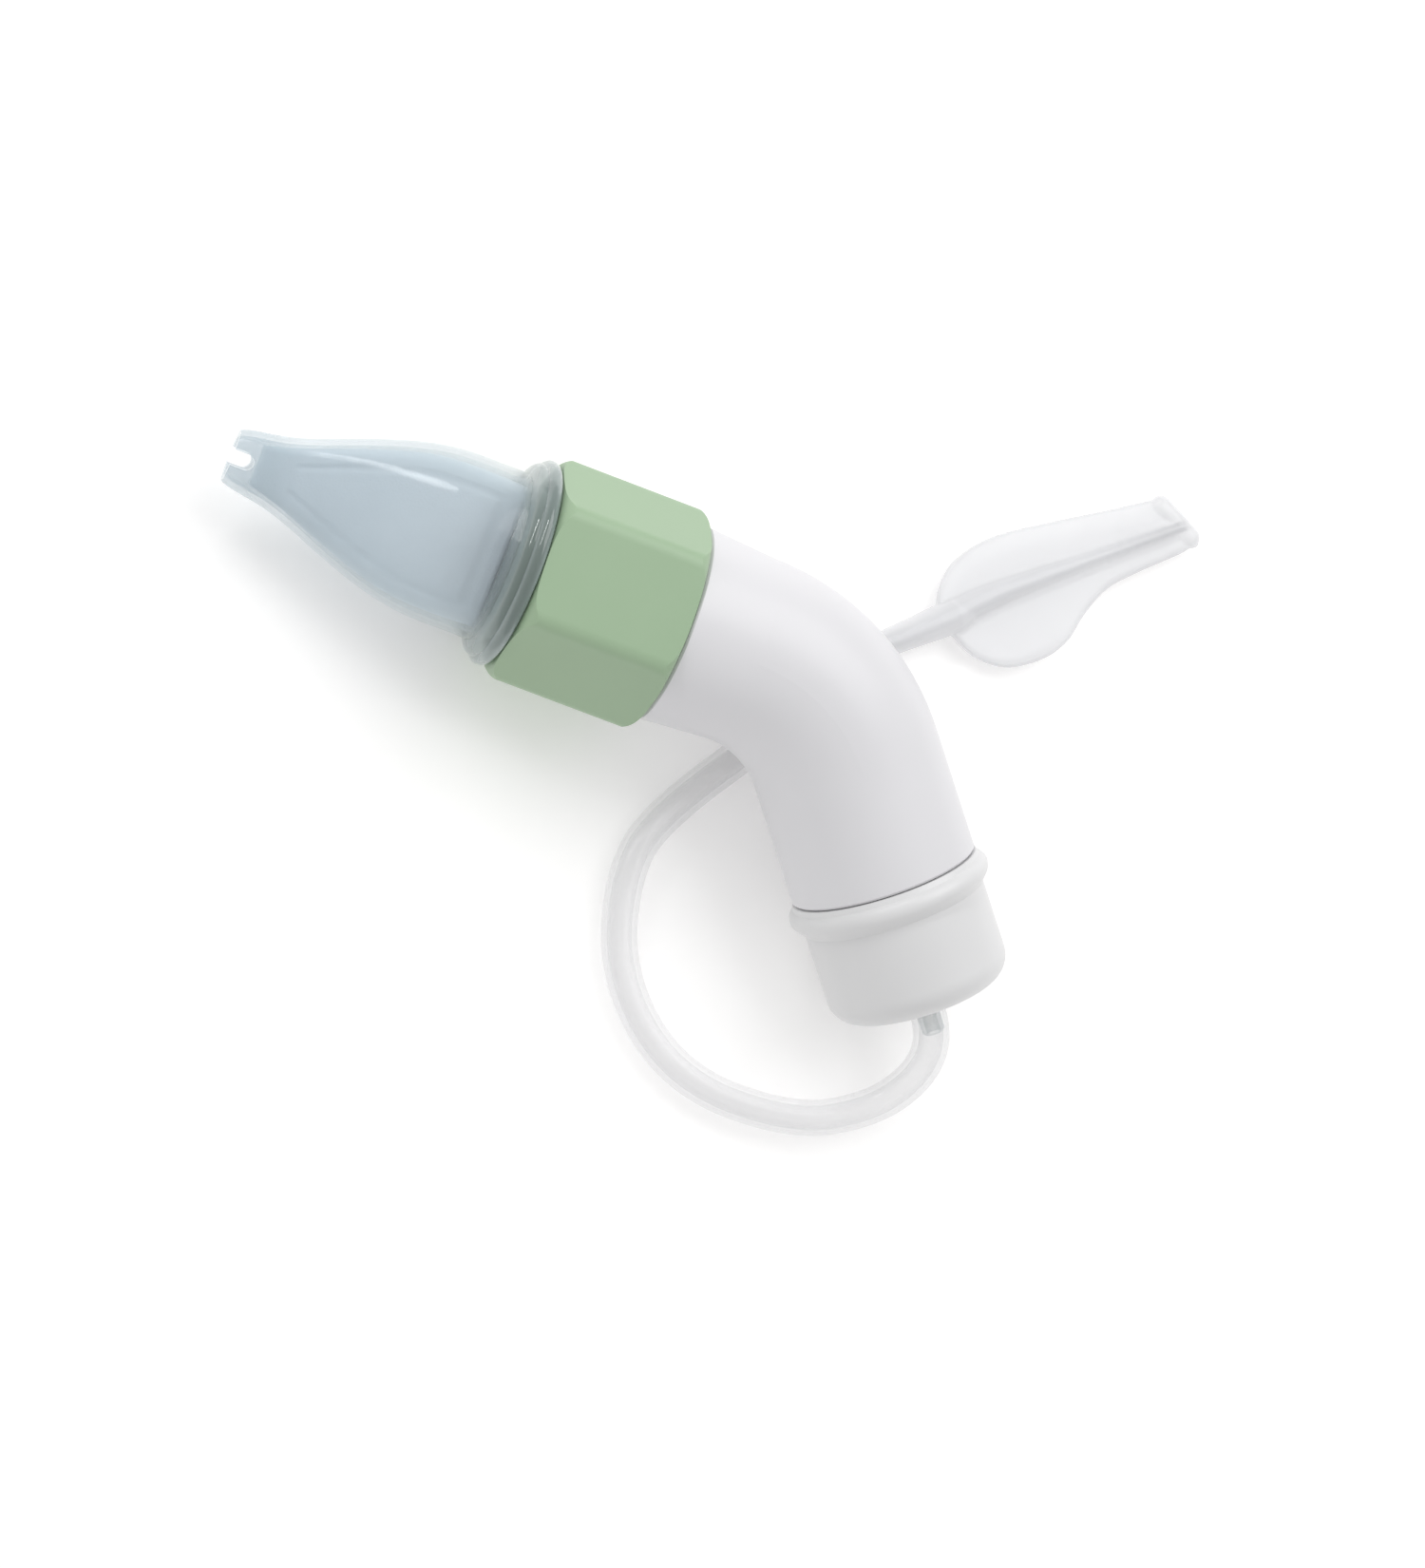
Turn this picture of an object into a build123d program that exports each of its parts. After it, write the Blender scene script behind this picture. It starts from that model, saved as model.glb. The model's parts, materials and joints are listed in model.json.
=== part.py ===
from build123d import *
from math import cos, sin, tan, radians, pi
import os

# Nasal aspirator lying on a table, millimetres, +Z up.
# Origin: bottom centre of the handle, collar, nozzle and cap, on the table.

# How the handle lies. Its two legs meet at the bend point.
bend_point = Vector(31.92, 8.83, 23.42)
chord_heading = -44.1      # level direction from the collar towards the cap
chord_pitch = 1.60         # how far the cap end dips
plane_tilt = 19.0          # the bend is raised by the hose beneath it
half_bend = 25.0           # each leg leaves the chord by this angle

# Handle
bend_radius = 29.5
leg_radius = 15.5
shoulder_radius = 16.4
bore_radius = 13.4
shoulder_s = 26.3          # distances s run from the bend point to the nozzle tip
neck_end_s = 47.2
neck_step = 2.0            # wall between the shoulder and the start of the narrower bore
edge_break = 0.4           # small bevel on turned ends
neck_radius = 14.5
neck_bore_radius = 12.8
handle_end_t = 34.4        # distances t run from the bend point to the cap end

# Collar
collar_rear_s = 26.5
collar_front_s = 52.3
collar_flat = 16.6         # centre to flat
collar_corner_fillet = 3.0
collar_barrel = 18.8       # radius over the rounded corners
collar_end_radius = 16.4
collar_bore = 14.8
collar_rear_round = 2.4
collar_front_round = 3.0
round_middle = 0.3         # where each end's arc passes, as a part of its depth
collar_turned = 12.0       # first corner, measured from the handle plane

# Neck seal
seal_thickness = 1.5
seal_round = 0.4
seal_gap = 0.05

# Nozzle
flange_s = 52.5
tip_s = 103.0
nozzle_wall = 1.1
spigot_end_s = 48.9
spigot_radius = 14.5
nozzle_bore = 12.8
body_s = 57.5
body_radius = 14.3
half_tip_depth = 2.3
nozzle_sections = [        # station, half width and half depth
    (56.5, body_radius, body_radius),
    (63.0, 14.3, 13.6),
    (68.0, 14.15, 12.0),
    (73.0, 13.4, 10.0),
    (78.2, 12.0, 8.0),
    (85.3, 9.5, 5.7),
    (91.1, 7.3, 4.2),
    (96.0, 5.9, 3.1),
    (tip_s, 4.4, half_tip_depth),
]
pad_sections = [
    (56.2, 12.2, 3.0),
    (68.0, 12.2, 3.0),
    (78.2, 10.3, 2.8),
    (85.3, 7.9, 2.5),
    (91.1, 5.7, 2.1),
    (98.5, 3.9, 1.0),
]
notch_width = 2.6
notch_depth = 3.6

# Cap
cap_end_t = 56.1
bead_radius = 16.85
bead_t = 36.8
bead_end_t = 39.8
cap_radius = 15.16
plug_start_t = 26.0
plug_radius = 13.1
groove_start_t = 29.55
groove_width = 1.9
groove_radius = 11.5
seal_ring_radius = 12.4    # O-ring: centreline radius and half thickness
seal_ring_half = 0.85
cap_gap = 0.15
cap_shoulder_radius = 15.6
bead_foot = 1.4            # the bead rises from the shoulder over this length
bead_crown = 1.6
end_round = 4.5
cap_bore = 10.6
cap_end_wall = 3.0
spigot_hole = 2.6

# Hose and its spigot
hose_radius = 3.0
hose_bore = 2.0
hose_start_t = 58.0
spigot_flange = 5.0        # radius of the flange inside the cap
spigot_flange_depth = 1.5
spigot_stem = 2.55
ferrule_radius = 3.6
spigot_barb_length = 4.0
spigot_gap = 0.05
hose_points = [            # the route's corners between its two ends, on the table past the fourth
    Vector(55.1, -48.5, 13.3),
    Vector(53.4, -55.0, 9.3),
    Vector(46.7, -60.0, 5.2),
    Vector(33.7, -62.0, 3.0),
    Vector(13.2, -54.8, 3.0),
    Vector(3.3, -38.1, 3.0),
    Vector(5.4, -19.7, 3.0),
    Vector(13.2, -10.7, 3.0),
    Vector(31.9, 1.8, 3.0),
    Vector(42.75, 12.87, 3.0),
]

# Mouthpiece, in its own plane: x along its length from the neck, y across
mouth_neck = Vector(63.3, 20.8, 3.0)
mouth_heading = 21.1
leaf_thickness = 1.8
leaf_upper = [(-0.6, 1.5), (0.8, 5.0), (5.0, 8.5), (13.0, 9.8), (24.0, 8.3), (33.0, 6.8), (43.3, 5.4)]
leaf_lower = [(46.4, -4.4), (35.4, -4.9), (29.0, -5.3), (24.0, -7.9), (18.3, -11.4), (12.5, -12.2),
              (6.5, -11.0), (2.0, -7.2)]
lip_ends = [(43.3, 4.2), (46.4, -3.4)]
lip_radius = 1.7
channel_sections = [(0.0, 0.0, 2.9, 2.9), (5.0, 0.6, 2.8, 2.7), (12.0, 0.7, 2.3, 2.4),
                    (28.0, 0.1, 1.9, 1.9), (45.0, -0.6, 2.2, 1.5)]
bore_sections = [(3.0, 0.3, 1.2, 1.2), (12.0, 0.7, 1.2, 1.2), (28.0, 0.1, 1.2, 1.0), (49.0, -0.7, 1.6, 0.8)]
tail_start_x = -14.0
tail_radius = 2.9
tail_end_radius = 2.2
barb_radius = 1.9
barb_length = 4.0
air_bore = 1.2


def level_direction(degrees):
    return Vector(cos(radians(degrees)), sin(radians(degrees)), 0)


level_chord = level_direction(chord_heading)
level_across = level_direction(chord_heading + 90)
up = Vector(0, 0, 1)
chord = level_chord * cos(radians(chord_pitch)) - up * sin(radians(chord_pitch))
across = level_across * cos(radians(plane_tilt)) + chord.cross(level_across) * sin(radians(plane_tilt))
normal = chord.cross(across)
nozzle_dir = -chord * cos(radians(half_bend)) - across * sin(radians(half_bend))
cap_dir = chord * cos(radians(half_bend)) - across * sin(radians(half_bend))
hose_start = bend_point + cap_dir * hose_start_t
hose_end = mouth_neck + level_direction(mouth_heading) * (tail_start_x - 0.03)
nozzle_axis = Axis(bend_point, nozzle_dir)
cap_axis = Axis(bend_point, cap_dir)
nozzle_side = nozzle_dir.cross(normal)     # across the nozzle, in the handle plane


def nozzle_station(s):
    """Plane square to the nozzle's axis; its x runs across the duck bill."""
    return Plane(origin=bend_point + nozzle_dir * s, x_dir=nozzle_side, z_dir=nozzle_dir)


def cap_station(t):
    return Plane(origin=bend_point + cap_dir * t, x_dir=normal, z_dir=cap_dir)


# Profile planes: x runs along the leg, y is the radius.
nozzle_profile = Plane(origin=bend_point, x_dir=nozzle_dir, z_dir=normal)
cap_profile = Plane(origin=bend_point, x_dir=cap_dir, z_dir=normal)

tangent_length = bend_radius * tan(radians(half_bend))
to_bend_centre = -across * (bend_radius / cos(radians(half_bend)))
bend_axis = Axis(bend_point + to_bend_centre, normal)


# Handle: a bent tube with a smaller neck at its nozzle end
with BuildPart() as handle:
    with BuildSketch(cap_station(tangent_length)):
        Circle(leg_radius)
    revolve(axis=bend_axis, revolution_arc=2 * half_bend)
    with BuildSketch(cap_profile):
        with BuildLine():
            Polyline((tangent_length, 0), (tangent_length, leg_radius),
                     (handle_end_t - edge_break, leg_radius), (handle_end_t, leg_radius - edge_break),
                     (handle_end_t, 0), close=True)
        make_face()
    revolve(axis=cap_axis)
    with BuildSketch(nozzle_profile):
        with BuildLine():
            Polyline((tangent_length, 0), (tangent_length, leg_radius),
                     (shoulder_s - edge_break, shoulder_radius), (shoulder_s, shoulder_radius - edge_break),
                     (shoulder_s, neck_radius), (neck_end_s - edge_break, neck_radius),
                     (neck_end_s, neck_radius - edge_break), (neck_end_s, 0), close=True)
        make_face()
    revolve(axis=nozzle_axis)
    # The bore follows the same bend, and narrows into the neck.
    with BuildSketch(cap_station(tangent_length)):
        Circle(bore_radius)
    revolve(axis=bend_axis, revolution_arc=2 * half_bend, mode=Mode.SUBTRACT)
    with BuildSketch(cap_station(tangent_length)):
        Circle(bore_radius)
    extrude(amount=handle_end_t, mode=Mode.SUBTRACT)
    with BuildSketch(nozzle_station(tangent_length)):
        Circle(bore_radius)
    extrude(amount=shoulder_s - tangent_length - neck_step, mode=Mode.SUBTRACT)
    with BuildSketch(nozzle_station(tangent_length)):
        Circle(neck_bore_radius)
    extrude(amount=neck_end_s, mode=Mode.SUBTRACT)

# Collar: a hexagonal nut with barrelled ends, bored through
collar_mid_radius = collar_barrel - round_middle * (collar_barrel - collar_end_radius)
with BuildPart() as collar:
    with BuildSketch(nozzle_station(collar_rear_s)):
        RegularPolygon(collar_flat, 6, major_radius=False, rotation=collar_turned)
    extrude(amount=collar_front_s - collar_rear_s)
    corners = collar.edges().filter_by(nozzle_axis)
    fillet(corners, radius=collar_corner_fillet)
    with BuildSketch(nozzle_profile):
        with BuildLine():
            Line((collar_rear_s, 0), (collar_rear_s, collar_end_radius))
            ThreePointArc((collar_rear_s, collar_end_radius),
                          (collar_rear_s + round_middle * collar_rear_round, collar_mid_radius),
                          (collar_rear_s + collar_rear_round, collar_barrel))
            Line((collar_rear_s + collar_rear_round, collar_barrel),
                 (collar_front_s - collar_front_round, collar_barrel))
            ThreePointArc((collar_front_s - collar_front_round, collar_barrel),
                          (collar_front_s - round_middle * collar_front_round, collar_mid_radius),
                          (collar_front_s, collar_end_radius))
            Polyline((collar_front_s, collar_end_radius), (collar_front_s, 0), (collar_rear_s, 0))
        make_face()
    revolve(axis=nozzle_axis, mode=Mode.INTERSECT)
    with BuildSketch(nozzle_station(collar_rear_s - 1)):
        Circle(collar_bore)
    extrude(amount=collar_front_s, mode=Mode.SUBTRACT)

# Neck seal: a flat silicone ring between the neck and the nozzle's spigot
with BuildPart() as neck_seal:
    with BuildSketch(nozzle_station(neck_end_s + seal_gap)):
        Circle(neck_radius)
        Circle(neck_bore_radius, mode=Mode.SUBTRACT)
    extrude(amount=seal_thickness)
    fillet(neck_seal.edges(), radius=seal_round)

# Cap: skirt with a bead, a plug that enters the handle, and a hollow inside
groove_end_t = groove_start_t + groove_width
shoulder_t = handle_end_t + cap_gap
end_wall_t = cap_end_t - cap_end_wall
crown_radius = bead_radius - 0.5
with BuildPart() as end_cap:
    with BuildSketch(cap_profile):
        with BuildLine():
            Polyline((plug_start_t, cap_bore), (plug_start_t, plug_radius - edge_break),
                     (plug_start_t + edge_break, plug_radius), (groove_start_t, plug_radius),
                     (groove_start_t, groove_radius), (groove_end_t, groove_radius),
                     (groove_end_t, plug_radius), (shoulder_t, plug_radius),
                     (shoulder_t, cap_shoulder_radius),
                     (bead_t - bead_foot, cap_shoulder_radius + 0.3))
            ThreePointArc((bead_t - bead_foot, cap_shoulder_radius + 0.3), (bead_t, bead_radius),
                          (bead_t + bead_crown, crown_radius))
            Polyline((bead_t + bead_crown, crown_radius), (bead_end_t, cap_radius),
                     (cap_end_t - end_round, cap_radius))
            RadiusArc((cap_end_t - end_round, cap_radius), (cap_end_t, cap_radius - end_round), end_round)
            Polyline((cap_end_t, cap_radius - end_round), (cap_end_t, spigot_hole), (end_wall_t, spigot_hole),
                     (end_wall_t, cap_bore), (plug_start_t, cap_bore))
        make_face()
    revolve(axis=cap_axis)

# Cap seal: an O-ring in the plug's groove
with BuildPart() as cap_seal:
    with BuildSketch(cap_profile):
        with Locations(((groove_start_t + groove_end_t) / 2, seal_ring_radius)):
            Circle(seal_ring_half)
    revolve(axis=cap_axis)

# Hose spigot: flange inside the cap, ferrule outside, and a barb that the hose is pushed over
barb_end_t = hose_start_t + spigot_barb_length
with BuildPart() as hose_spigot:
    with BuildSketch(cap_profile):
        with BuildLine():
            Polyline((end_wall_t - spigot_flange_depth, air_bore),
                     (end_wall_t - spigot_flange_depth, spigot_flange),
                     (end_wall_t - spigot_gap, spigot_flange), (end_wall_t - spigot_gap, spigot_stem),
                     (cap_end_t + spigot_gap, spigot_stem), (cap_end_t + spigot_gap, ferrule_radius),
                     (hose_start_t - edge_break, ferrule_radius), (hose_start_t, ferrule_radius - edge_break),
                     (hose_start_t, barb_radius), (barb_end_t - edge_break, barb_radius),
                     (barb_end_t, barb_radius - edge_break), (barb_end_t, air_bore), close=True)
        make_face()
    revolve(axis=cap_axis)

# Nozzle: spigot and double flange turned about the axis, then a body that flattens to a duck bill
with BuildPart() as nozzle:
    with BuildSketch(nozzle_profile):
        with BuildLine():
            Polyline((spigot_end_s, nozzle_bore), (spigot_end_s, spigot_radius), (flange_s, spigot_radius),
                     (flange_s, 16.6))
            ThreePointArc((flange_s, 16.6), (flange_s + 1.2, 17.5), (flange_s + 2.4, 16.5))
            ThreePointArc((flange_s + 2.4, 16.5), (flange_s + 3.2, 16.3), (flange_s + 3.9, 15.4))
            Polyline((flange_s + 3.9, 15.4), (flange_s + 4.3, body_radius), (body_s, body_radius),
                     (body_s, nozzle_bore), (spigot_end_s, nozzle_bore))
        make_face()
    revolve(axis=nozzle_axis)
    for s, half_width, half_depth in nozzle_sections:
        with BuildSketch(nozzle_station(s)):
            Ellipse(half_width, half_depth)
    loft()
    for s, half_width, half_depth in nozzle_sections:
        with BuildSketch(nozzle_station(s)):
            Ellipse(half_width - nozzle_wall, half_depth - nozzle_wall)
    loft(mode=Mode.SUBTRACT)
    with BuildSketch(nozzle_station(spigot_end_s)):
        Circle(nozzle_bore)
    extrude(amount=body_s - spigot_end_s + 0.5, mode=Mode.SUBTRACT)
    with BuildSketch(nozzle_profile):
        with Locations((tip_s, 0)):
            SlotOverall(2 * notch_depth, notch_width)
    extrude(amount=half_tip_depth + 1, both=True, mode=Mode.SUBTRACT)

# Filter pad: a flat absorbent pad that lies along the nozzle
with BuildPart() as filter_pad:
    for s, half_width, half_depth in pad_sections:
        with BuildSketch(nozzle_station(s)):
            Ellipse(half_width, half_depth)
    loft()

# Hose: laid in one loop from the cap, along the table and under the bend
hose_route = [hose_start] + hose_points + [hose_end]
runs = [b - a for a, b in zip(hose_route, hose_route[1:])]
hose_radii = [0.45 * min(before.length, after.length) / tan(radians(before.get_angle(after)) / 2)
              for before, after in zip(runs, runs[1:])]
with BuildPart() as hose:
    with BuildLine() as hose_path:
        FilletPolyline(*hose_route, radius=hose_radii)
    with BuildSketch(Plane(origin=hose_start, x_dir=normal, z_dir=cap_dir)):
        Circle(hose_radius)
        Circle(hose_bore, mode=Mode.SUBTRACT)
    sweep()
hose_length = sum(edge.length for edge in hose_path.edges())
hose_section = pi * (hose_radius ** 2 - hose_bore ** 2)
print("hose radii", [round(r, 1) for r in hose_radii])
print("hose length", round(hose_length, 1), "volume", round(hose.part.volume, 1),
      "section x length", round(hose_section * hose_length, 1))

# Mouthpiece: a leaf-shaped plate with an air channel, a rolled lip and a tail that enters the hose
mouth_x = Vector(cos(radians(mouth_heading)), sin(radians(mouth_heading)), 0)
mouth_plane = Plane(origin=mouth_neck, x_dir=mouth_x, z_dir=up)
mouth_profile = Plane(origin=mouth_neck, x_dir=mouth_x, z_dir=-mouth_x.cross(up))
mouth_axis = Axis(mouth_neck, mouth_x)
mouth_y = up.cross(mouth_x)


def mouth_station(x, y):
    """Plane square to the mouthpiece's length; its x runs level across the leaf."""
    return Plane(origin=mouth_neck + mouth_x * x + mouth_y * y, x_dir=mouth_y, z_dir=mouth_x)


with BuildPart() as mouthpiece:
    with BuildSketch(mouth_plane):
        with BuildLine():
            upper = Spline(*leaf_upper)
            lip = Line(upper @ 1, leaf_lower[0])
            Spline(*leaf_lower, upper @ 0)
        make_face()
    extrude(amount=leaf_thickness / 2, both=True)
    # Rolled lip
    lip_start = mouth_plane.from_local_coords(Vector(*lip_ends[0], 0))
    lip_end = mouth_plane.from_local_coords(Vector(*lip_ends[1], 0))
    with BuildSketch(Plane(origin=lip_start, z_dir=lip_end - lip_start)):
        Circle(lip_radius)
    extrude(amount=(lip_end - lip_start).length)
    for end in (lip_start, lip_end):
        with Locations(end):
            Sphere(lip_radius)
    # Air channel
    for x, y, half_width, half_height in channel_sections:
        with BuildSketch(mouth_station(x, y)):
            Ellipse(half_width, half_height)
    loft()
    # Tail: a cone outside the hose, a barb inside it
    with BuildSketch(mouth_profile):
        with BuildLine():
            Polyline((0.5, 0), (0.5, tail_radius), (tail_start_x, tail_end_radius),
                     (tail_start_x, barb_radius),
                     (tail_start_x - barb_length + 0.5, barb_radius),
                     (tail_start_x - barb_length, barb_radius - 0.4), (tail_start_x - barb_length, 0),
                     close=True)
        make_face()
    revolve(axis=mouth_axis)
    # Through bore
    with BuildSketch(mouth_station(tail_start_x - barb_length, 0)):
        Circle(air_bore)
    extrude(amount=barb_length - tail_start_x + 4, mode=Mode.SUBTRACT)
    for x, y, half_width, half_height in bore_sections:
        with BuildSketch(mouth_station(x, y)):
            Ellipse(half_width, half_height)
    loft(mode=Mode.SUBTRACT)

pieces = {"handle": handle, "collar": collar, "neck_seal": neck_seal, "nozzle": nozzle,
          "filter_pad": filter_pad, "end_cap": end_cap, "cap_seal": cap_seal,
          "hose_spigot": hose_spigot, "hose": hose, "mouthpiece": mouthpiece}
os.makedirs("parts", exist_ok=True)
for name, piece in pieces.items():
    piece.part.label = name
    export_step(piece.part, f"parts/{name}.step")
    box = piece.part.bounding_box()
    print(name, round(piece.part.volume), piece.part.is_valid, len(piece.part.solids()), box.min, box.max)
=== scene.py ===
import bpy
import bmesh
import json
from math import cos, sin, pi, radians, exp, sqrt
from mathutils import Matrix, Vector


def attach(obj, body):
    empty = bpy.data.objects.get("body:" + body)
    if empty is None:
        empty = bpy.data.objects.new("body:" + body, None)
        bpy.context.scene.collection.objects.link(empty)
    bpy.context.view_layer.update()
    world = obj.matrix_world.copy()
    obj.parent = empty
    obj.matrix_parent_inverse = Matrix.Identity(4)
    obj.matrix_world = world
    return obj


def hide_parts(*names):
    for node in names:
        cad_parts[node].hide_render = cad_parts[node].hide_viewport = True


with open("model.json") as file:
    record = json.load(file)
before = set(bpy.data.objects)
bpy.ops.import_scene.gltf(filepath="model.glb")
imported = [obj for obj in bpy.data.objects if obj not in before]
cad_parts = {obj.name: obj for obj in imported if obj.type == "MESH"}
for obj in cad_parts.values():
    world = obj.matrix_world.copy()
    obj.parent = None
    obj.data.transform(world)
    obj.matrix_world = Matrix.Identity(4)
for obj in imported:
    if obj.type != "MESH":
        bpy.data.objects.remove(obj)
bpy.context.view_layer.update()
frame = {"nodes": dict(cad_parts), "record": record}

MM = 0.001
JOINTS = {joint["name"]: joint for joint in frame["record"]["behaviour"]["joints"]}
NOZZLE_DIR = Vector(JOINTS["nozzle_pull"]["axis"]).normalized()
CAP_DIR = Vector(JOINTS["cap_pull"]["axis"]).normalized()
MOUTH_DIR = Vector(JOINTS["mouthpiece_pull"]["axis"]).normalized()
NORMAL = CAP_DIR.cross(NOZZLE_DIR).normalized()       # square to the handle's plane, upwards
if NORMAL.z < 0:
    NORMAL = -NORMAL
NOZZLE_SIDE = NOZZLE_DIR.cross(NORMAL)
MOUNTS = {mount["name"]: mount for mount in frame["record"]["mounts"]}
TIP = Vector(MOUNTS["nozzle_tip"]["pos_m"])
TIP_S = 103.0 * MM                                    # the tip's distance from BEND
BEND = TIP - NOZZLE_DIR * TIP_S                       # where the two legs' axes meet
UP = Vector((0, 0, 1))
LIP = Vector(MOUNTS["mouthpiece_lip"]["pos_m"])
LIP_X = 44.9                                          # the lip's distance from MOUTH_NECK, in mm
MOUTH_NECK = LIP - MOUTH_DIR * LIP_X * MM
MOUTH_SIDE = UP.cross(MOUTH_DIR)

# ---------------------------------------------------------------- camera
LOOK_AT = Vector((22.3, -6.5, 0.0)) * MM
PLANE_TILT = radians(14.0)     # the camera leans this far from the handle plane's normal
CHORD = (CAP_DIR - NOZZLE_DIR).normalized()
TO_CAMERA = (NORMAL * cos(PLANE_TILT) - CHORD * sin(PLANE_TILT)).normalized()
CAMERA_DISTANCE = 1.775
CAMERA_LENS = 250              # focal length and film width in mm, as Blender takes them
FILM_WIDTH = 36
IMAGE_TURN = radians(46.25)    # the chord's slope in the view


def make_camera():
    data = bpy.data.cameras.new("camera")
    data.lens = CAMERA_LENS
    data.sensor_width = FILM_WIDTH
    camera = bpy.data.objects.new("camera", data)
    bpy.context.scene.collection.objects.link(camera)
    along = (CHORD * cos(PLANE_TILT) + NORMAL * sin(PLANE_TILT)).normalized()
    across = TO_CAMERA.cross(along)
    right = along * cos(IMAGE_TURN) + across * sin(IMAGE_TURN)
    up = TO_CAMERA.cross(right)
    place = camera.matrix_world
    for row in range(3):
        place[row][0] = right[row]
        place[row][1] = up[row]
        place[row][2] = TO_CAMERA[row]
        place[row][3] = LOOK_AT[row] + TO_CAMERA[row] * CAMERA_DISTANCE
    camera.matrix_world = place
    bpy.context.scene.camera = camera


make_camera()

# ---------------------------------------------------------------- small helpers


def add_mesh(name, verts, faces, smooth=True):
    mesh = bpy.data.meshes.new(name)
    mesh.from_pydata([tuple(v) for v in verts], [], faces)
    mesh.validate()
    mesh.update()
    if smooth:
        mesh.shade_smooth()
    piece = bpy.data.objects.new(name, mesh)
    bpy.context.scene.collection.objects.link(piece)
    return piece


def fix_normals(piece):
    shape = bmesh.new()
    shape.from_mesh(piece.data)
    bmesh.ops.recalc_face_normals(shape, faces=shape.faces)
    shape.to_mesh(piece.data)
    shape.free()
    piece.data.shade_smooth()


def apply_modifiers(piece):
    graph = bpy.context.evaluated_depsgraph_get()
    mesh = bpy.data.meshes.new_from_object(piece.evaluated_get(graph))
    old = piece.data
    piece.modifiers.clear()
    piece.data = mesh
    bpy.data.meshes.remove(old)


def cut(piece, cutter, operation="DIFFERENCE"):
    boolean = piece.modifiers.new("cut", "BOOLEAN")
    boolean.operation = operation
    boolean.object = cutter
    boolean.solver = "EXACT"
    apply_modifiers(piece)
    bpy.data.objects.remove(cutter)


def rings_to_tube(rings, closed_loop=False, caps=False):
    """Vertices and faces of a skin over rings of equal length."""
    count = len(rings[0])
    verts = [point for ring in rings for point in ring]
    faces = []
    last = len(rings) if closed_loop else len(rings) - 1
    for i in range(last):
        a = i * count
        b = (i + 1) % len(rings) * count
        for j in range(count):
            k = (j + 1) % count
            faces.append((a + j, a + k, b + k, b + j))
    if caps:
        faces.append(tuple(range(count))[::-1])
        faces.append(tuple(range((len(rings) - 1) * count, len(rings) * count)))
    return verts, faces


def smooth_curve(points, steps):
    """A Catmull-Rom curve through points of any dimension, with so many steps between two points."""
    ends = [points[0]] + list(points) + [points[-1]]
    out = []
    for a, b, c, d in zip(ends, ends[1:], ends[2:], ends[3:]):
        for i in range(steps):
            t = i / steps
            out.append(tuple(0.5 * (2 * q + (r - p) * t + (2 * p - 5 * q + 4 * r - s) * t * t
                                    + (3 * q - p - 3 * r + s) * t ** 3)
                             for p, q, r, s in zip(a, b, c, d)))
    out.append(tuple(points[-1]))
    return out


# ---------------------------------------------------------------- materials
NOISE_LOW = 0.3                # a noise texture stays mostly between these two
NOISE_HIGH = 0.7
CLOUD_SCALE = 45.0             # noise scales are features per metre
GRAIN_SCALE = 5200.0
CLEAR_CLOUD_SCALE = 90.0
NOZZLE_CLOUD_SCALE = 120.0
PAD_CLOUD_SCALE = 160.0
FIBRE_SCALE = 2600.0
PLASTIC_IOR = 1.5
CLEAR_NOZZLE_IOR = 1.52
GLOW_WEIGHT = 0.08             # light carried just under the surface of moulded plastic
GLOW_RADIUS = 4.0 * MM


def new_material(name, color, roughness, ior=PLASTIC_IOR):
    material = bpy.data.materials.new(name)
    material.use_nodes = True
    shader = material.node_tree.nodes["Principled BSDF"]
    shader.inputs["Base Color"].default_value = (*color, 1)
    shader.inputs["Roughness"].default_value = roughness
    shader.inputs["IOR"].default_value = ior
    return material, material.node_tree, shader


def add_noise(tree, scale, detail):
    coords = tree.nodes.new("ShaderNodeTexCoord")
    noise = tree.nodes.new("ShaderNodeTexNoise")
    noise.inputs["Scale"].default_value = scale
    noise.inputs["Detail"].default_value = detail
    tree.links.new(coords.outputs["Object"], noise.inputs["Vector"])
    return noise


def add_range(tree, source, low, high):
    """Spreads a noise texture's usual range over low to high."""
    spread = tree.nodes.new("ShaderNodeMapRange")
    spread.inputs["From Min"].default_value = NOISE_LOW
    spread.inputs["From Max"].default_value = NOISE_HIGH
    spread.inputs["To Min"].default_value = low
    spread.inputs["To Max"].default_value = high
    tree.links.new(source, spread.inputs["Value"])
    return spread.outputs["Result"]


def add_bump(tree, shader, height, strength, distance):
    bump = tree.nodes.new("ShaderNodeBump")
    bump.inputs["Strength"].default_value = strength
    bump.inputs["Distance"].default_value = distance
    tree.links.new(height, bump.inputs["Height"])
    tree.links.new(bump.outputs["Normal"], shader.inputs["Normal"])


def vary_color(tree, shader, factor, dark, light):
    mix = tree.nodes.new("ShaderNodeMix")
    mix.data_type = "RGBA"
    mix.inputs["A"].default_value = (*dark, 1)
    mix.inputs["B"].default_value = (*light, 1)
    tree.links.new(factor, mix.inputs["Factor"])
    tree.links.new(mix.outputs["Result"], shader.inputs["Base Color"])


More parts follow.
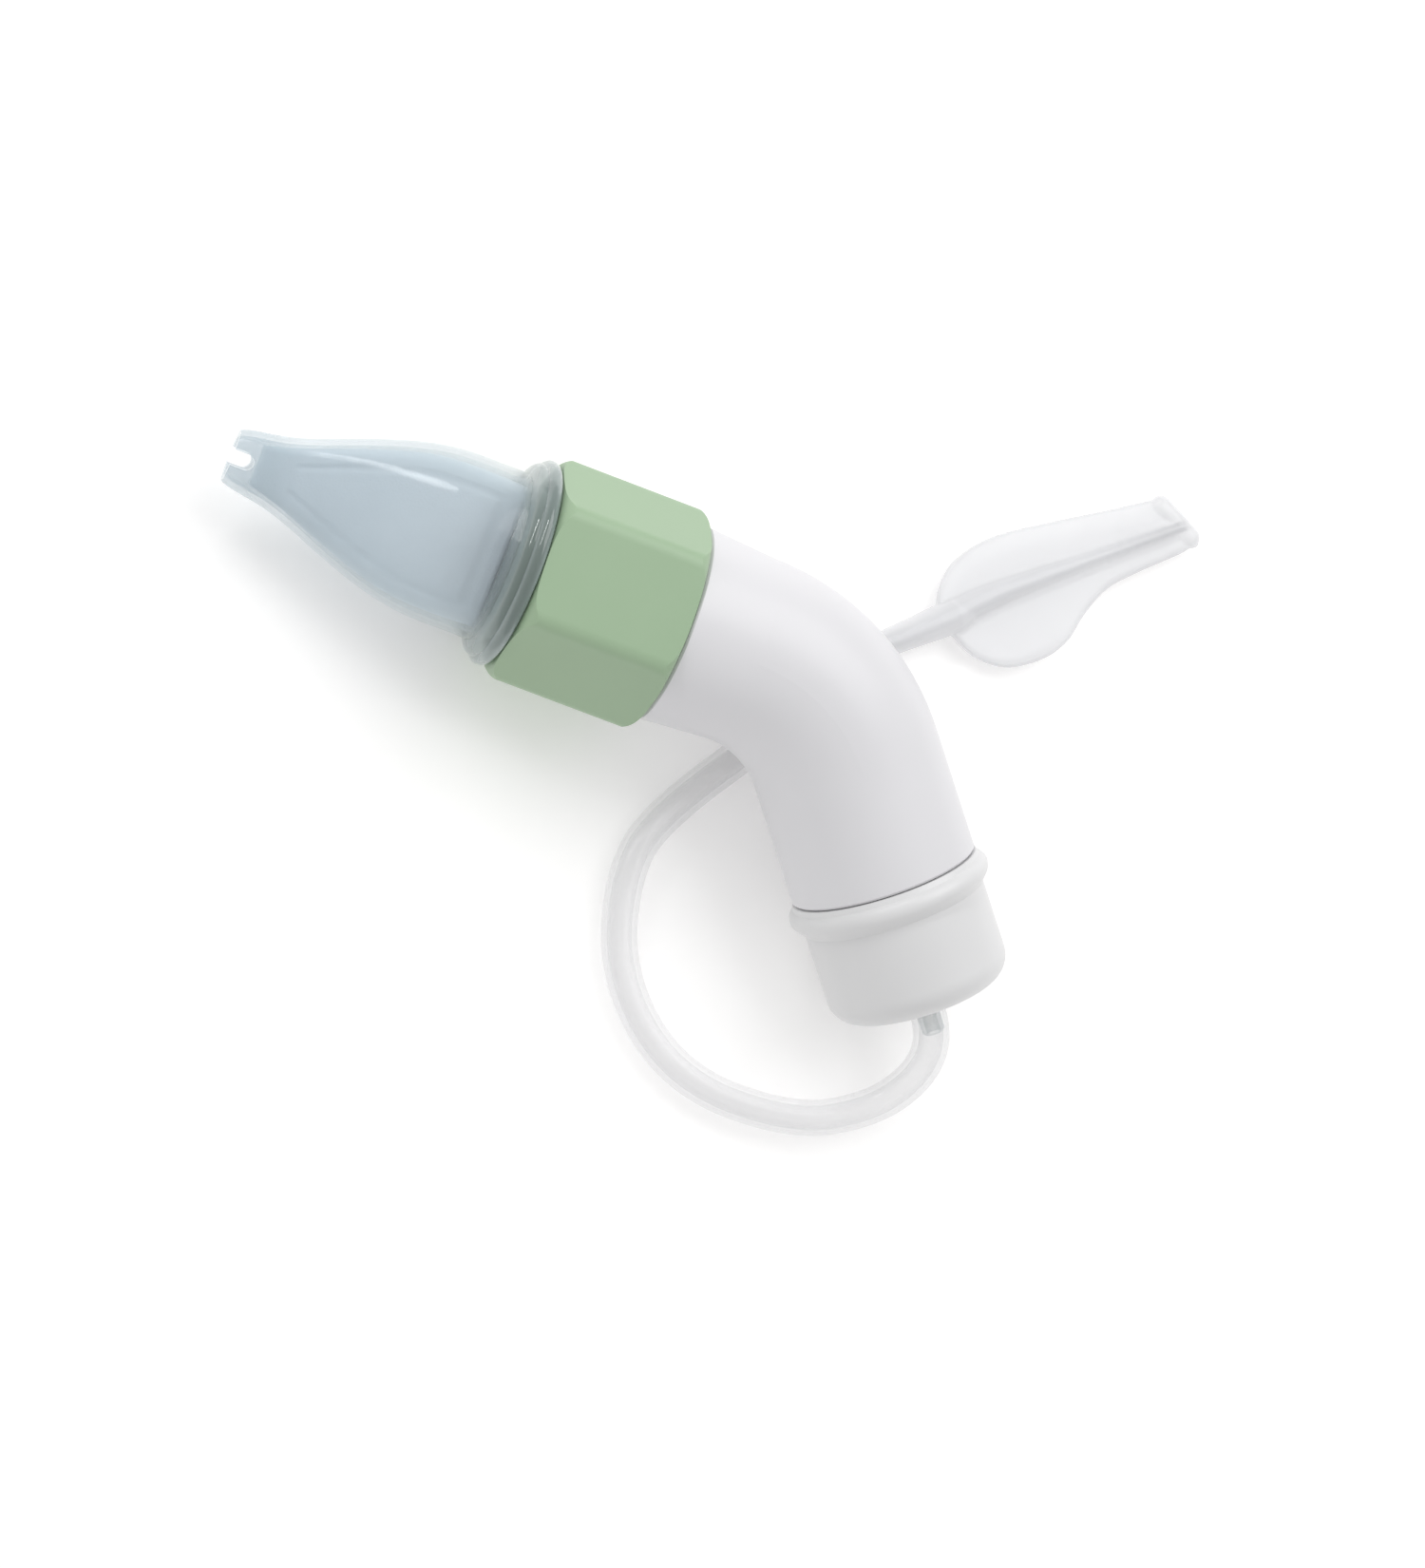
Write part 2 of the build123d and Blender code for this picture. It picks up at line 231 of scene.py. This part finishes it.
def moulded_plastic(name, dark, light, roughness):
    """Satin moulded plastic: a faint cloudiness, a fine spark-eroded grain and uneven gloss."""
    material, tree, shader = new_material(name, light, roughness)
    shader.inputs["Subsurface Weight"].default_value = GLOW_WEIGHT
    shader.inputs["Subsurface Radius"].default_value = (GLOW_RADIUS,) * 3
    cloud = add_noise(tree, CLOUD_SCALE, 2.0)
    vary_color(tree, shader, cloud.outputs["Fac"], dark, light)
    gloss = add_range(tree, cloud.outputs["Fac"], roughness - 0.04, roughness + 0.05)
    tree.links.new(gloss, shader.inputs["Roughness"])
    grain = add_noise(tree, GRAIN_SCALE, 2.0)
    add_bump(tree, shader, grain.outputs["Fac"], 0.10, 0.04 * MM)
    return material


def clear_plastic(name, color, roughness, face_alpha, edge_alpha):
    """Clear plastic seen as a thin wall: nearly open face on, denser towards its edges."""
    material, tree, shader = new_material(name, color, roughness)
    shader.inputs["Coat Weight"].default_value = 0.6
    shader.inputs["Coat Roughness"].default_value = 0.04
    facing = tree.nodes.new("ShaderNodeLayerWeight")
    facing.inputs["Blend"].default_value = 0.35
    ramp = tree.nodes.new("ShaderNodeMapRange")
    ramp.inputs["To Min"].default_value = face_alpha
    ramp.inputs["To Max"].default_value = edge_alpha
    tree.links.new(facing.outputs["Facing"], ramp.inputs["Value"])
    tree.links.new(ramp.outputs["Result"], shader.inputs["Alpha"])
    cloud = add_noise(tree, CLEAR_CLOUD_SCALE, 2.0)
    gloss = add_range(tree, cloud.outputs["Fac"], roughness - 0.02, roughness + 0.03)
    tree.links.new(gloss, shader.inputs["Roughness"])
    add_bump(tree, shader, cloud.outputs["Fac"], 0.05, 0.2 * MM)
    return material


# Stops along the nozzle, from its flange (0) to its tip (1): the plastic's colour and its opacity face on.
# The flange stops (0 to 0.15) are painted shade: a dark, nearly opaque grey-green standing in for the
# shaded inside of the collar seen through the clear base.
NOZZLE_RAMP_START = 48.0 * MM
# painted shade: the dark grey-green of the collar's shaded inside, seen through the nozzle's clear flange
FLANGE_PAINTED_SHADE = (0.16, 0.21, 0.19)
NOZZLE_TINT_AND_FLANGE_SHADE = [(0.0, FLANGE_PAINTED_SHADE), (0.15, FLANGE_PAINTED_SHADE), (0.19, (0.60, 0.70, 0.76)),
               (1.0, (0.58, 0.68, 0.74))]
# the high opacity at the flange end carries the painted shade; the rise near the tip is the plastic's own
# density
NOZZLE_DENSITY_AND_FLANGE_SHADE = [(0.0, (0.75,) * 3), (0.15, (0.72,) * 3), (0.19, (0.10,) * 3), (0.80, (0.12,) * 3),
                  (0.93, (0.34,) * 3)]
# painted highlight: the lighter colour that the nozzle takes towards its grazing edges
NOZZLE_PAINTED_EDGE_HIGHLIGHT = (0.62, 0.73, 0.74)
NOZZLE_RIM_ALPHA = 0.62
WHITE = moulded_plastic("white_plastic", (0.705, 0.70, 0.72), (0.755, 0.75, 0.77), 0.36)
CAP_WHITE = moulded_plastic("cap_plastic", (0.69, 0.69, 0.695), (0.745, 0.745, 0.75), 0.34)
SAGE = moulded_plastic("sage_plastic", (0.315, 0.44, 0.285), (0.355, 0.49, 0.325), 0.40)
CLEAR = clear_plastic("clear_plastic", (0.62, 0.72, 0.72), 0.06, 0.10, 0.55)
HOSE = clear_plastic("clear_tubing", (0.88, 0.88, 0.895), 0.08, 0.13, 0.52)
SILICONE = moulded_plastic("silicone", (0.42, 0.46, 0.45), (0.5, 0.54, 0.53), 0.5)
FROSTED = clear_plastic("frosted_silicone", (0.83, 0.835, 0.855), 0.30, 0.45, 0.85)


def nozzle_plastic():
    """Clear plastic: painted shade in its flange, dark and nearly opaque where the collar's shaded inside
    shows through, thin over the pad, blue-grey towards its tip, and lightened by a painted highlight
    towards its grazing edges.
    """
    material, tree, shader = new_material("nozzle_plastic", (0.5, 0.6, 0.66), 0.05, CLEAR_NOZZLE_IOR)
    shader.inputs["Coat Weight"].default_value = 1.0
    shader.inputs["Coat Roughness"].default_value = 0.03
    coords = tree.nodes.new("ShaderNodeTexCoord")
    station = tree.nodes.new("ShaderNodeVectorMath")
    station.operation = "DOT_PRODUCT"
    station.inputs[1].default_value = NOZZLE_DIR
    tree.links.new(coords.outputs["Object"], station.inputs[0])
    base_s = BEND.dot(NOZZLE_DIR)
    facing = tree.nodes.new("ShaderNodeLayerWeight")
    facing.inputs["Blend"].default_value = 0.3
    length = tree.nodes.new("ShaderNodeMapRange")
    length.inputs["From Min"].default_value = base_s + NOZZLE_RAMP_START
    length.inputs["From Max"].default_value = base_s + TIP_S
    tree.links.new(station.outputs["Value"], length.inputs["Value"])
    tint_and_shade = tree.nodes.new("ShaderNodeValToRGB")
    density_and_shade = tree.nodes.new("ShaderNodeValToRGB")
    for ramp, stops in ((tint_and_shade, NOZZLE_TINT_AND_FLANGE_SHADE), (density_and_shade, NOZZLE_DENSITY_AND_FLANGE_SHADE)):
        elements = ramp.color_ramp.elements
        while len(elements) < len(stops):
            elements.new(0.5)
        for element, (place, color) in zip(elements, stops):
            element.position = place
            element.color = (*color, 1)
        tree.links.new(length.outputs["Result"], ramp.inputs["Fac"])
    # painted highlight: the base colour lightens towards grazing edges, standing in for bright rim
    # highlights
    rim = tree.nodes.new("ShaderNodeMix")
    rim.data_type = "RGBA"
    rim.inputs["B"].default_value = (*NOZZLE_PAINTED_EDGE_HIGHLIGHT, 1)
    tree.links.new(facing.outputs["Facing"], rim.inputs["Factor"])
    tree.links.new(tint_and_shade.outputs["Color"], rim.inputs["A"])
    tree.links.new(rim.outputs["Result"], shader.inputs["Base Color"])
    edge = tree.nodes.new("ShaderNodeMapRange")
    edge.inputs["To Max"].default_value = NOZZLE_RIM_ALPHA
    tree.links.new(facing.outputs["Facing"], edge.inputs["Value"])
    tree.links.new(density_and_shade.outputs["Color"], edge.inputs["To Min"])
    tree.links.new(edge.outputs["Result"], shader.inputs["Alpha"])
    cloud = add_noise(tree, NOZZLE_CLOUD_SCALE, 2.0)
    tree.links.new(add_range(tree, cloud.outputs["Fac"], 0.03, 0.09), shader.inputs["Roughness"])
    add_bump(tree, shader, cloud.outputs["Fac"], 0.06, 0.2 * MM)
    return material


PAD_DARK = (0.63, 0.71, 0.77)
PAD_LIGHT = (0.69, 0.77, 0.83)


def pad_material():
    """Matt absorbent fabric with fine fibres."""
    material, tree, shader = new_material("pad_fabric", PAD_LIGHT, 0.9)
    shader.inputs["Sheen Weight"].default_value = 0.25
    fibres = add_noise(tree, FIBRE_SCALE, 6.0)
    cloud = add_noise(tree, PAD_CLOUD_SCALE, 3.0)
    vary_color(tree, shader, cloud.outputs["Fac"], PAD_DARK, PAD_LIGHT)
    add_bump(tree, shader, fibres.outputs["Fac"], 0.5, 0.1 * MM)
    return material


PAD = pad_material()
NOZZLE = nozzle_plastic()


def finish_piece(piece, material, body, node):
    """Gives a remade piece its material and its body, and hides the CAD node that it stands for."""
    piece.data.materials.clear()
    piece.data.materials.append(material)
    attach(piece, body)
    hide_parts(node)


# ---------------------------------------------------------------- hose, laid as in part.py
HOSE_RADIUS = 3.0 * MM
HOSE_BORE = 2.0 * MM
HOSE_SIDES = 32
HOSE_EXIT = BEND + CAP_DIR * 58.0 * MM
HOSE_END = MOUTH_NECK - MOUTH_DIR * 14.03 * MM        # just short of the mouthpiece's tail
HOSE_POINTS = [
    (0.0551, -0.0485, 0.0133),
    (0.0534, -0.0550, 0.0093),
    (0.0467, -0.0600, 0.0052),
    (0.0337, -0.0620, 0.0030),
    (0.0132, -0.0548, 0.0030),
    (0.0033, -0.0381, 0.0030),
    (0.0054, -0.0197, 0.0030),
    (0.0132, -0.0107, 0.0030),
    (0.0319, 0.0018, 0.0030),
    (0.04275, 0.01287, 0.0030),
]


def hose_centreline():
    """Points along the route: a quadratic curve that starts and ends at the route's own ends."""
    route = bpy.data.curves.new("hose_route", "CURVE")
    route.dimensions = "3D"
    route.resolution_u = 16
    spline = route.splines.new("NURBS")
    points = [tuple(HOSE_EXIT)] + HOSE_POINTS + [tuple(HOSE_END)]
    spline.points.add(len(points) - 1)
    for knot, point in zip(spline.points, points):
        knot.co = (*point, 1)
    spline.order_u = 3
    spline.use_endpoint_u = True
    guide = bpy.data.objects.new("hose_route", route)
    bpy.context.scene.collection.objects.link(guide)
    graph = bpy.context.evaluated_depsgraph_get()
    line = bpy.data.meshes.new_from_object(guide.evaluated_get(graph))
    path = [vertex.co.copy() for vertex in line.vertices]
    bpy.data.meshes.remove(line)
    bpy.data.objects.remove(guide)
    return path


def make_hose(path):
    """A tube with its bore, made of rings that keep their turn along the path."""
    rings_out = []
    rings_in = []
    turns = [(cos(2 * pi * j / HOSE_SIDES), sin(2 * pi * j / HOSE_SIDES)) for j in range(HOSE_SIDES)]
    side = UP.copy()
    for i, point in enumerate(path):
        ahead = (path[min(i + 1, len(path) - 1)] - path[max(i - 1, 0)]).normalized()
        side = (side - ahead * side.dot(ahead)).normalized()
        other = ahead.cross(side)
        rings_out.append([point + (side * c + other * s) * HOSE_RADIUS for c, s in turns])
        rings_in.append([point + (side * c + other * s) * HOSE_BORE for c, s in turns])
    verts, faces = rings_to_tube(rings_out + rings_in[::-1], closed_loop=True)
    hose = add_mesh("hose_tube", verts, faces)
    fix_normals(hose)
    finish_piece(hose, HOSE, "cap", "hose")
    return hose


hose_path = hose_centreline()
hose = make_hose(hose_path)

# ---------------------------------------------------------------- mouthpiece
# Outlines in mm: x runs from the leaf's neck to its lip, y across it.
LEAF_UPPER = [(-0.8, 2.6), (0.6, 5.2), (5.0, 8.5), (13.0, 9.7), (24.0, 8.3), (33.0, 6.8), (41.0, 5.6),
              (43.6, 5.0)]
LEAF_LOWER = [(-0.2, -2.6), (2.2, -7.6), (6.9, -11.2), (13.5, -12.2), (18.9, -11.0), (23.6, -7.9),
              (29.0, -5.5), (35.4, -4.9), (44.0, -4.7), (46.6, -4.0)]
# The air channel's and the bore's centre lines and the tail, each point with its radius.
CHANNEL = [(-1.0, 0.0, 2.6), (5.0, 0.6, 2.5), (12.0, 0.7, 2.2), (28.0, 0.1, 1.7), (44.5, -0.6, 1.4)]
BORE = [(-16.0, 0.0, 1.3), (0.0, 0.0, 1.3), (12.0, 0.7, 1.2), (28.0, 0.1, 0.95), (50.0, -0.8, 0.9)]
TAIL = [(-14.0, 0.0, 2.2), (-8.0, 0.0, 2.45), (-2.0, 0.0, 2.8), (1.5, 0.0, 2.9), (4.0, 0.0, 2.3)]
LIP_RADIUS = 1.65
LIP_END_RADIUS = 0.4
LIP_LINE = [(42.6, 5.4, LIP_END_RADIUS), (43.2, 4.4, LIP_RADIUS), (44.6, 1.6, LIP_RADIUS),
            (45.8, -1.2, LIP_RADIUS), (46.5, -3.4, LIP_RADIUS), (46.9, -4.6, LIP_END_RADIUS)]
SMALLEST_BAR = 0.2
LEAF_HALF = 0.9                # half thickness of the flat leaf, in mm
RIDGE_HEIGHT = 0.9             # the air channel's swelling above the flat leaf
RIDGE_SPREAD = 0.75            # its half width, in channel radii
LEAF_RIM_POWER = 14            # high: the leaf stays flat almost to its rim
LEAF_COLUMNS = 90
LEAF_ACROSS = 60
CURVE_STEPS = 10
LEAF_VOXEL = 0.28 * MM


def mouth_point(x, y, z):
    return MOUTH_NECK + (MOUTH_DIR * x + MOUTH_SIDE * y + UP * z) * MM


def along_rail(rail, t):
    """The point at t, from 0 to 1, of a line of points."""
    place = t * (len(rail) - 1)
    i = min(int(place), len(rail) - 2)
    f = place - i
    return [a + (b - a) * f for a, b in zip(rail[i], rail[i + 1])]


def round_bar(name, stations, sides=28):
    """A bar of round sections in the leaf's plane: each station is x, y and a radius, in mm."""
    centres = [mouth_point(x, y, 0) for x, y, radius in stations]
    rings = []
    for i, centre in enumerate(centres):
        radius = stations[i][2] * MM
        ahead = (centres[min(i + 1, len(centres) - 1)] - centres[max(i - 1, 0)]).normalized()
        side = (UP - ahead * ahead.z).normalized()
        other = ahead.cross(side)
        angles = [2 * pi * j / sides for j in range(sides)]
        rings.append([centre + (side * cos(angle) + other * sin(angle)) * radius for angle in angles])
    verts, faces = rings_to_tube(rings, caps=True)
    bar = add_mesh(name, verts, faces)
    fix_normals(bar)
    return bar


def leaf_ring(top, bottom, channel):
    """One closed ring round the leaf, from its upper outline to its lower one and back underneath."""
    ring = []
    for j in range(2 * LEAF_ACROSS):
        angle = 2 * pi * j / (2 * LEAF_ACROSS)
        v = cos(angle)
        x = (top[0] + bottom[0]) / 2 + (top[0] - bottom[0]) / 2 * v
        y = (top[1] + bottom[1]) / 2 + (top[1] - bottom[1]) / 2 * v
        rim = (1 - abs(v) ** LEAF_RIM_POWER) ** 0.5 if abs(v) < 1 else 0
        centre = min(channel, key=lambda c: (c[0] - x) ** 2)
        ridge = RIDGE_HEIGHT * exp(-((y - centre[1]) / (centre[2] * RIDGE_SPREAD)) ** 2)
        z = (LEAF_HALF + ridge) * rim
        ring.append(mouth_point(x, y, z if sin(angle) >= 0 else -z))
    return ring


def make_mouthpiece():
    """A flat leaf with an air channel, a rolled lip and a tail, melted together and bored through."""
    upper = smooth_curve(LEAF_UPPER, CURVE_STEPS)
    lower = smooth_curve(LEAF_LOWER, CURVE_STEPS)
    channel = smooth_curve(CHANNEL, CURVE_STEPS)
    places = [i / LEAF_COLUMNS for i in range(LEAF_COLUMNS + 1)]
    rows = [leaf_ring(along_rail(upper, t), along_rail(lower, t), channel) for t in places]
    verts, faces = rings_to_tube(rows, caps=True)
    leaf = add_mesh("mouthpiece_leaf", verts, faces)
    fix_normals(leaf)
    lip = [(x, y, max(radius, SMALLEST_BAR)) for x, y, radius in smooth_curve(LIP_LINE, 8)]
    for name, stations in (("channel_bar", channel), ("lip_bar", lip), ("tail_bar", TAIL)):
        cut(leaf, round_bar(name, stations), "UNION")
    remesh = leaf.modifiers.new("remesh", "REMESH")
    remesh.mode = "VOXEL"
    remesh.voxel_size = LEAF_VOXEL
    soften = leaf.modifiers.new("soften", "SMOOTH")
    soften.factor = 0.5
    soften.iterations = 4
    apply_modifiers(leaf)
    cut(leaf, round_bar("bore_bar", BORE))
    fix_normals(leaf)
    finish_piece(leaf, FROSTED, "mouthpiece", "mouthpiece")
    return leaf


mouthpiece = make_mouthpiece()

# ---------------------------------------------------------------- filter pad
# Stations along the nozzle from BEND, each with the pad's half width, in mm.
PAD_OUTLINE = [(55.9, 12.0), (62.0, 12.3), (68.0, 12.2), (73.0, 11.6), (78.2, 10.2), (85.3, 7.8),
               (91.1, 5.6), (95.5, 4.2), (98.6, 3.4)]
PAD_START = PAD_OUTLINE[0][0]
PAD_END = PAD_OUTLINE[-1][0]
PAD_HALF = 2.1                 # half thickness, which the narrowing nozzle presses down towards its tip
PAD_END_HALF = 0.9
PAD_TAPER = 0.12
PAD_RIM_POWER = 16
PAD_ACROSS = 44
PAD_MARGIN = 0.2               # the rounded ends are worked out from a little past the pad
START_ROUNDING = 0.7
END_ROUNDING = 0.8
START_INSET_SLOPE = 0.9        # how fast the pressed line moves in from the pad's start
SEAM_INSET = 3.0               # the pressed line's distance from the edge, its depth and its half width
SEAM_DEPTH = 0.35
SEAM_HALF = 0.35
SEAM_LEAST_WIDTH = 5.0         # the line stops where the pad is narrower than this
THINNEST = 0.02


def pad_ring(s, width):
    """One closed ring round the pad at station s."""
    start_pull = min(1.0, sqrt(max(s - PAD_START + PAD_MARGIN, 0.0) / START_ROUNDING))
    end_pull = min(1.0, sqrt(max(PAD_END + PAD_MARGIN - s, 0.0) / END_ROUNDING))
    fit = min(PAD_HALF, PAD_END_HALF + (PAD_END - s) * PAD_TAPER)
    ring = []
    for j in range(2 * PAD_ACROSS):
        angle = 2 * pi * j / (2 * PAD_ACROSS)
        v = cos(angle)
        x = width * v
        rim = sqrt(max(0.0, 1 - abs(v) ** PAD_RIM_POWER))
        inset = min(width - abs(x), (s - PAD_START) * START_INSET_SLOPE)
        line = exp(-((inset - SEAM_INSET) / SEAM_HALF) ** 2) if width > SEAM_LEAST_WIDTH else 0.0
        z = max((fit * rim - SEAM_DEPTH * line) * start_pull * end_pull, THINNEST)
        offset = NOZZLE_SIDE * x + NORMAL * (z if sin(angle) >= 0 else -z)
        ring.append(BEND + NOZZLE_DIR * s * MM + offset * MM)
    return ring


def make_pad():
    """A flat sewn pad: two faces that pull in towards the seam, and a pressed line inside the edge."""
    rings = [pad_ring(s, width) for s, width in smooth_curve(PAD_OUTLINE, 8)]
    verts, faces = rings_to_tube(rings, caps=True)
    pad = add_mesh("filter_pad_fabric", verts, faces)
    fix_normals(pad)
    finish_piece(pad, PAD, "pad", "filter_pad")


make_pad()

# ---------------------------------------------------------------- CAD nodes keep their shape
NODE_MATERIALS = {"handle": WHITE, "collar": SAGE, "end_cap": CAP_WHITE, "neck_seal": SILICONE,
                  "cap_seal": SILICONE, "hose_spigot": CLEAR, "nozzle": NOZZLE}
for node, material in NODE_MATERIALS.items():
    shown = frame["nodes"][node]
    for slot in shown.material_slots:
        slot.material = material

# ---------------------------------------------------------------- floor, light and world


FLOOR_HALF = 2.0
FLOOR_DROP = 0.1 * MM
FLOOR_GLOW = 0.19              # keeps the floor near white round the shadow
WORLD_STRENGTH = 0.66
KEY_SIZE = 0.8
KEY_ENERGY = 4.2
STRIP_LENGTH = 0.5
STRIP_WIDTH = 0.06
STRIP_ENERGY = 1.3


def make_floor():
    corners = [(-FLOOR_HALF, -FLOOR_HALF, 0), (FLOOR_HALF, -FLOOR_HALF, 0), (FLOOR_HALF, FLOOR_HALF, 0),
               (-FLOOR_HALF, FLOOR_HALF, 0)]
    floor = add_mesh("floor", corners, [(0, 1, 2, 3)], smooth=False)
    floor.location.z = -FLOOR_DROP
    material, tree, shader = new_material("floor", (0.93, 0.925, 0.92), 0.9)
    shader.inputs["Specular IOR Level"].default_value = 0.1
    shader.inputs["Emission Color"].default_value = (1, 0.99, 0.99, 1)
    shader.inputs["Emission Strength"].default_value = FLOOR_GLOW
    floor.data.materials.append(material)


def add_area(name, place, target, size, size_y, energy):
    data = bpy.data.lights.new(name, "AREA")
    data.shape = "RECTANGLE"
    data.size = size
    data.size_y = size_y
    data.energy = energy
    light = bpy.data.objects.new(name, data)
    light.location = place
    light.rotation_euler = (Vector(target) - Vector(place)).to_track_quat("-Z", "Y").to_euler()
    bpy.context.scene.collection.objects.link(light)


def make_world():
    world = bpy.data.worlds.new("studio")
    world.use_nodes = True
    background = world.node_tree.nodes["Background"]
    background.inputs["Color"].default_value = (1, 1, 1, 1)
    background.inputs["Strength"].default_value = WORLD_STRENGTH
    bpy.context.scene.world = world
    bpy.context.scene.view_settings.view_transform = "Standard"


make_floor()
add_area("key", (0.45, 0.42, 0.85), (0, 0, 0), KEY_SIZE, KEY_SIZE, KEY_ENERGY)
add_area("strip", (-0.35, 0.55, 0.55), (-0.04, 0.02, 0.02), STRIP_LENGTH, STRIP_WIDTH, STRIP_ENERGY)
make_world()
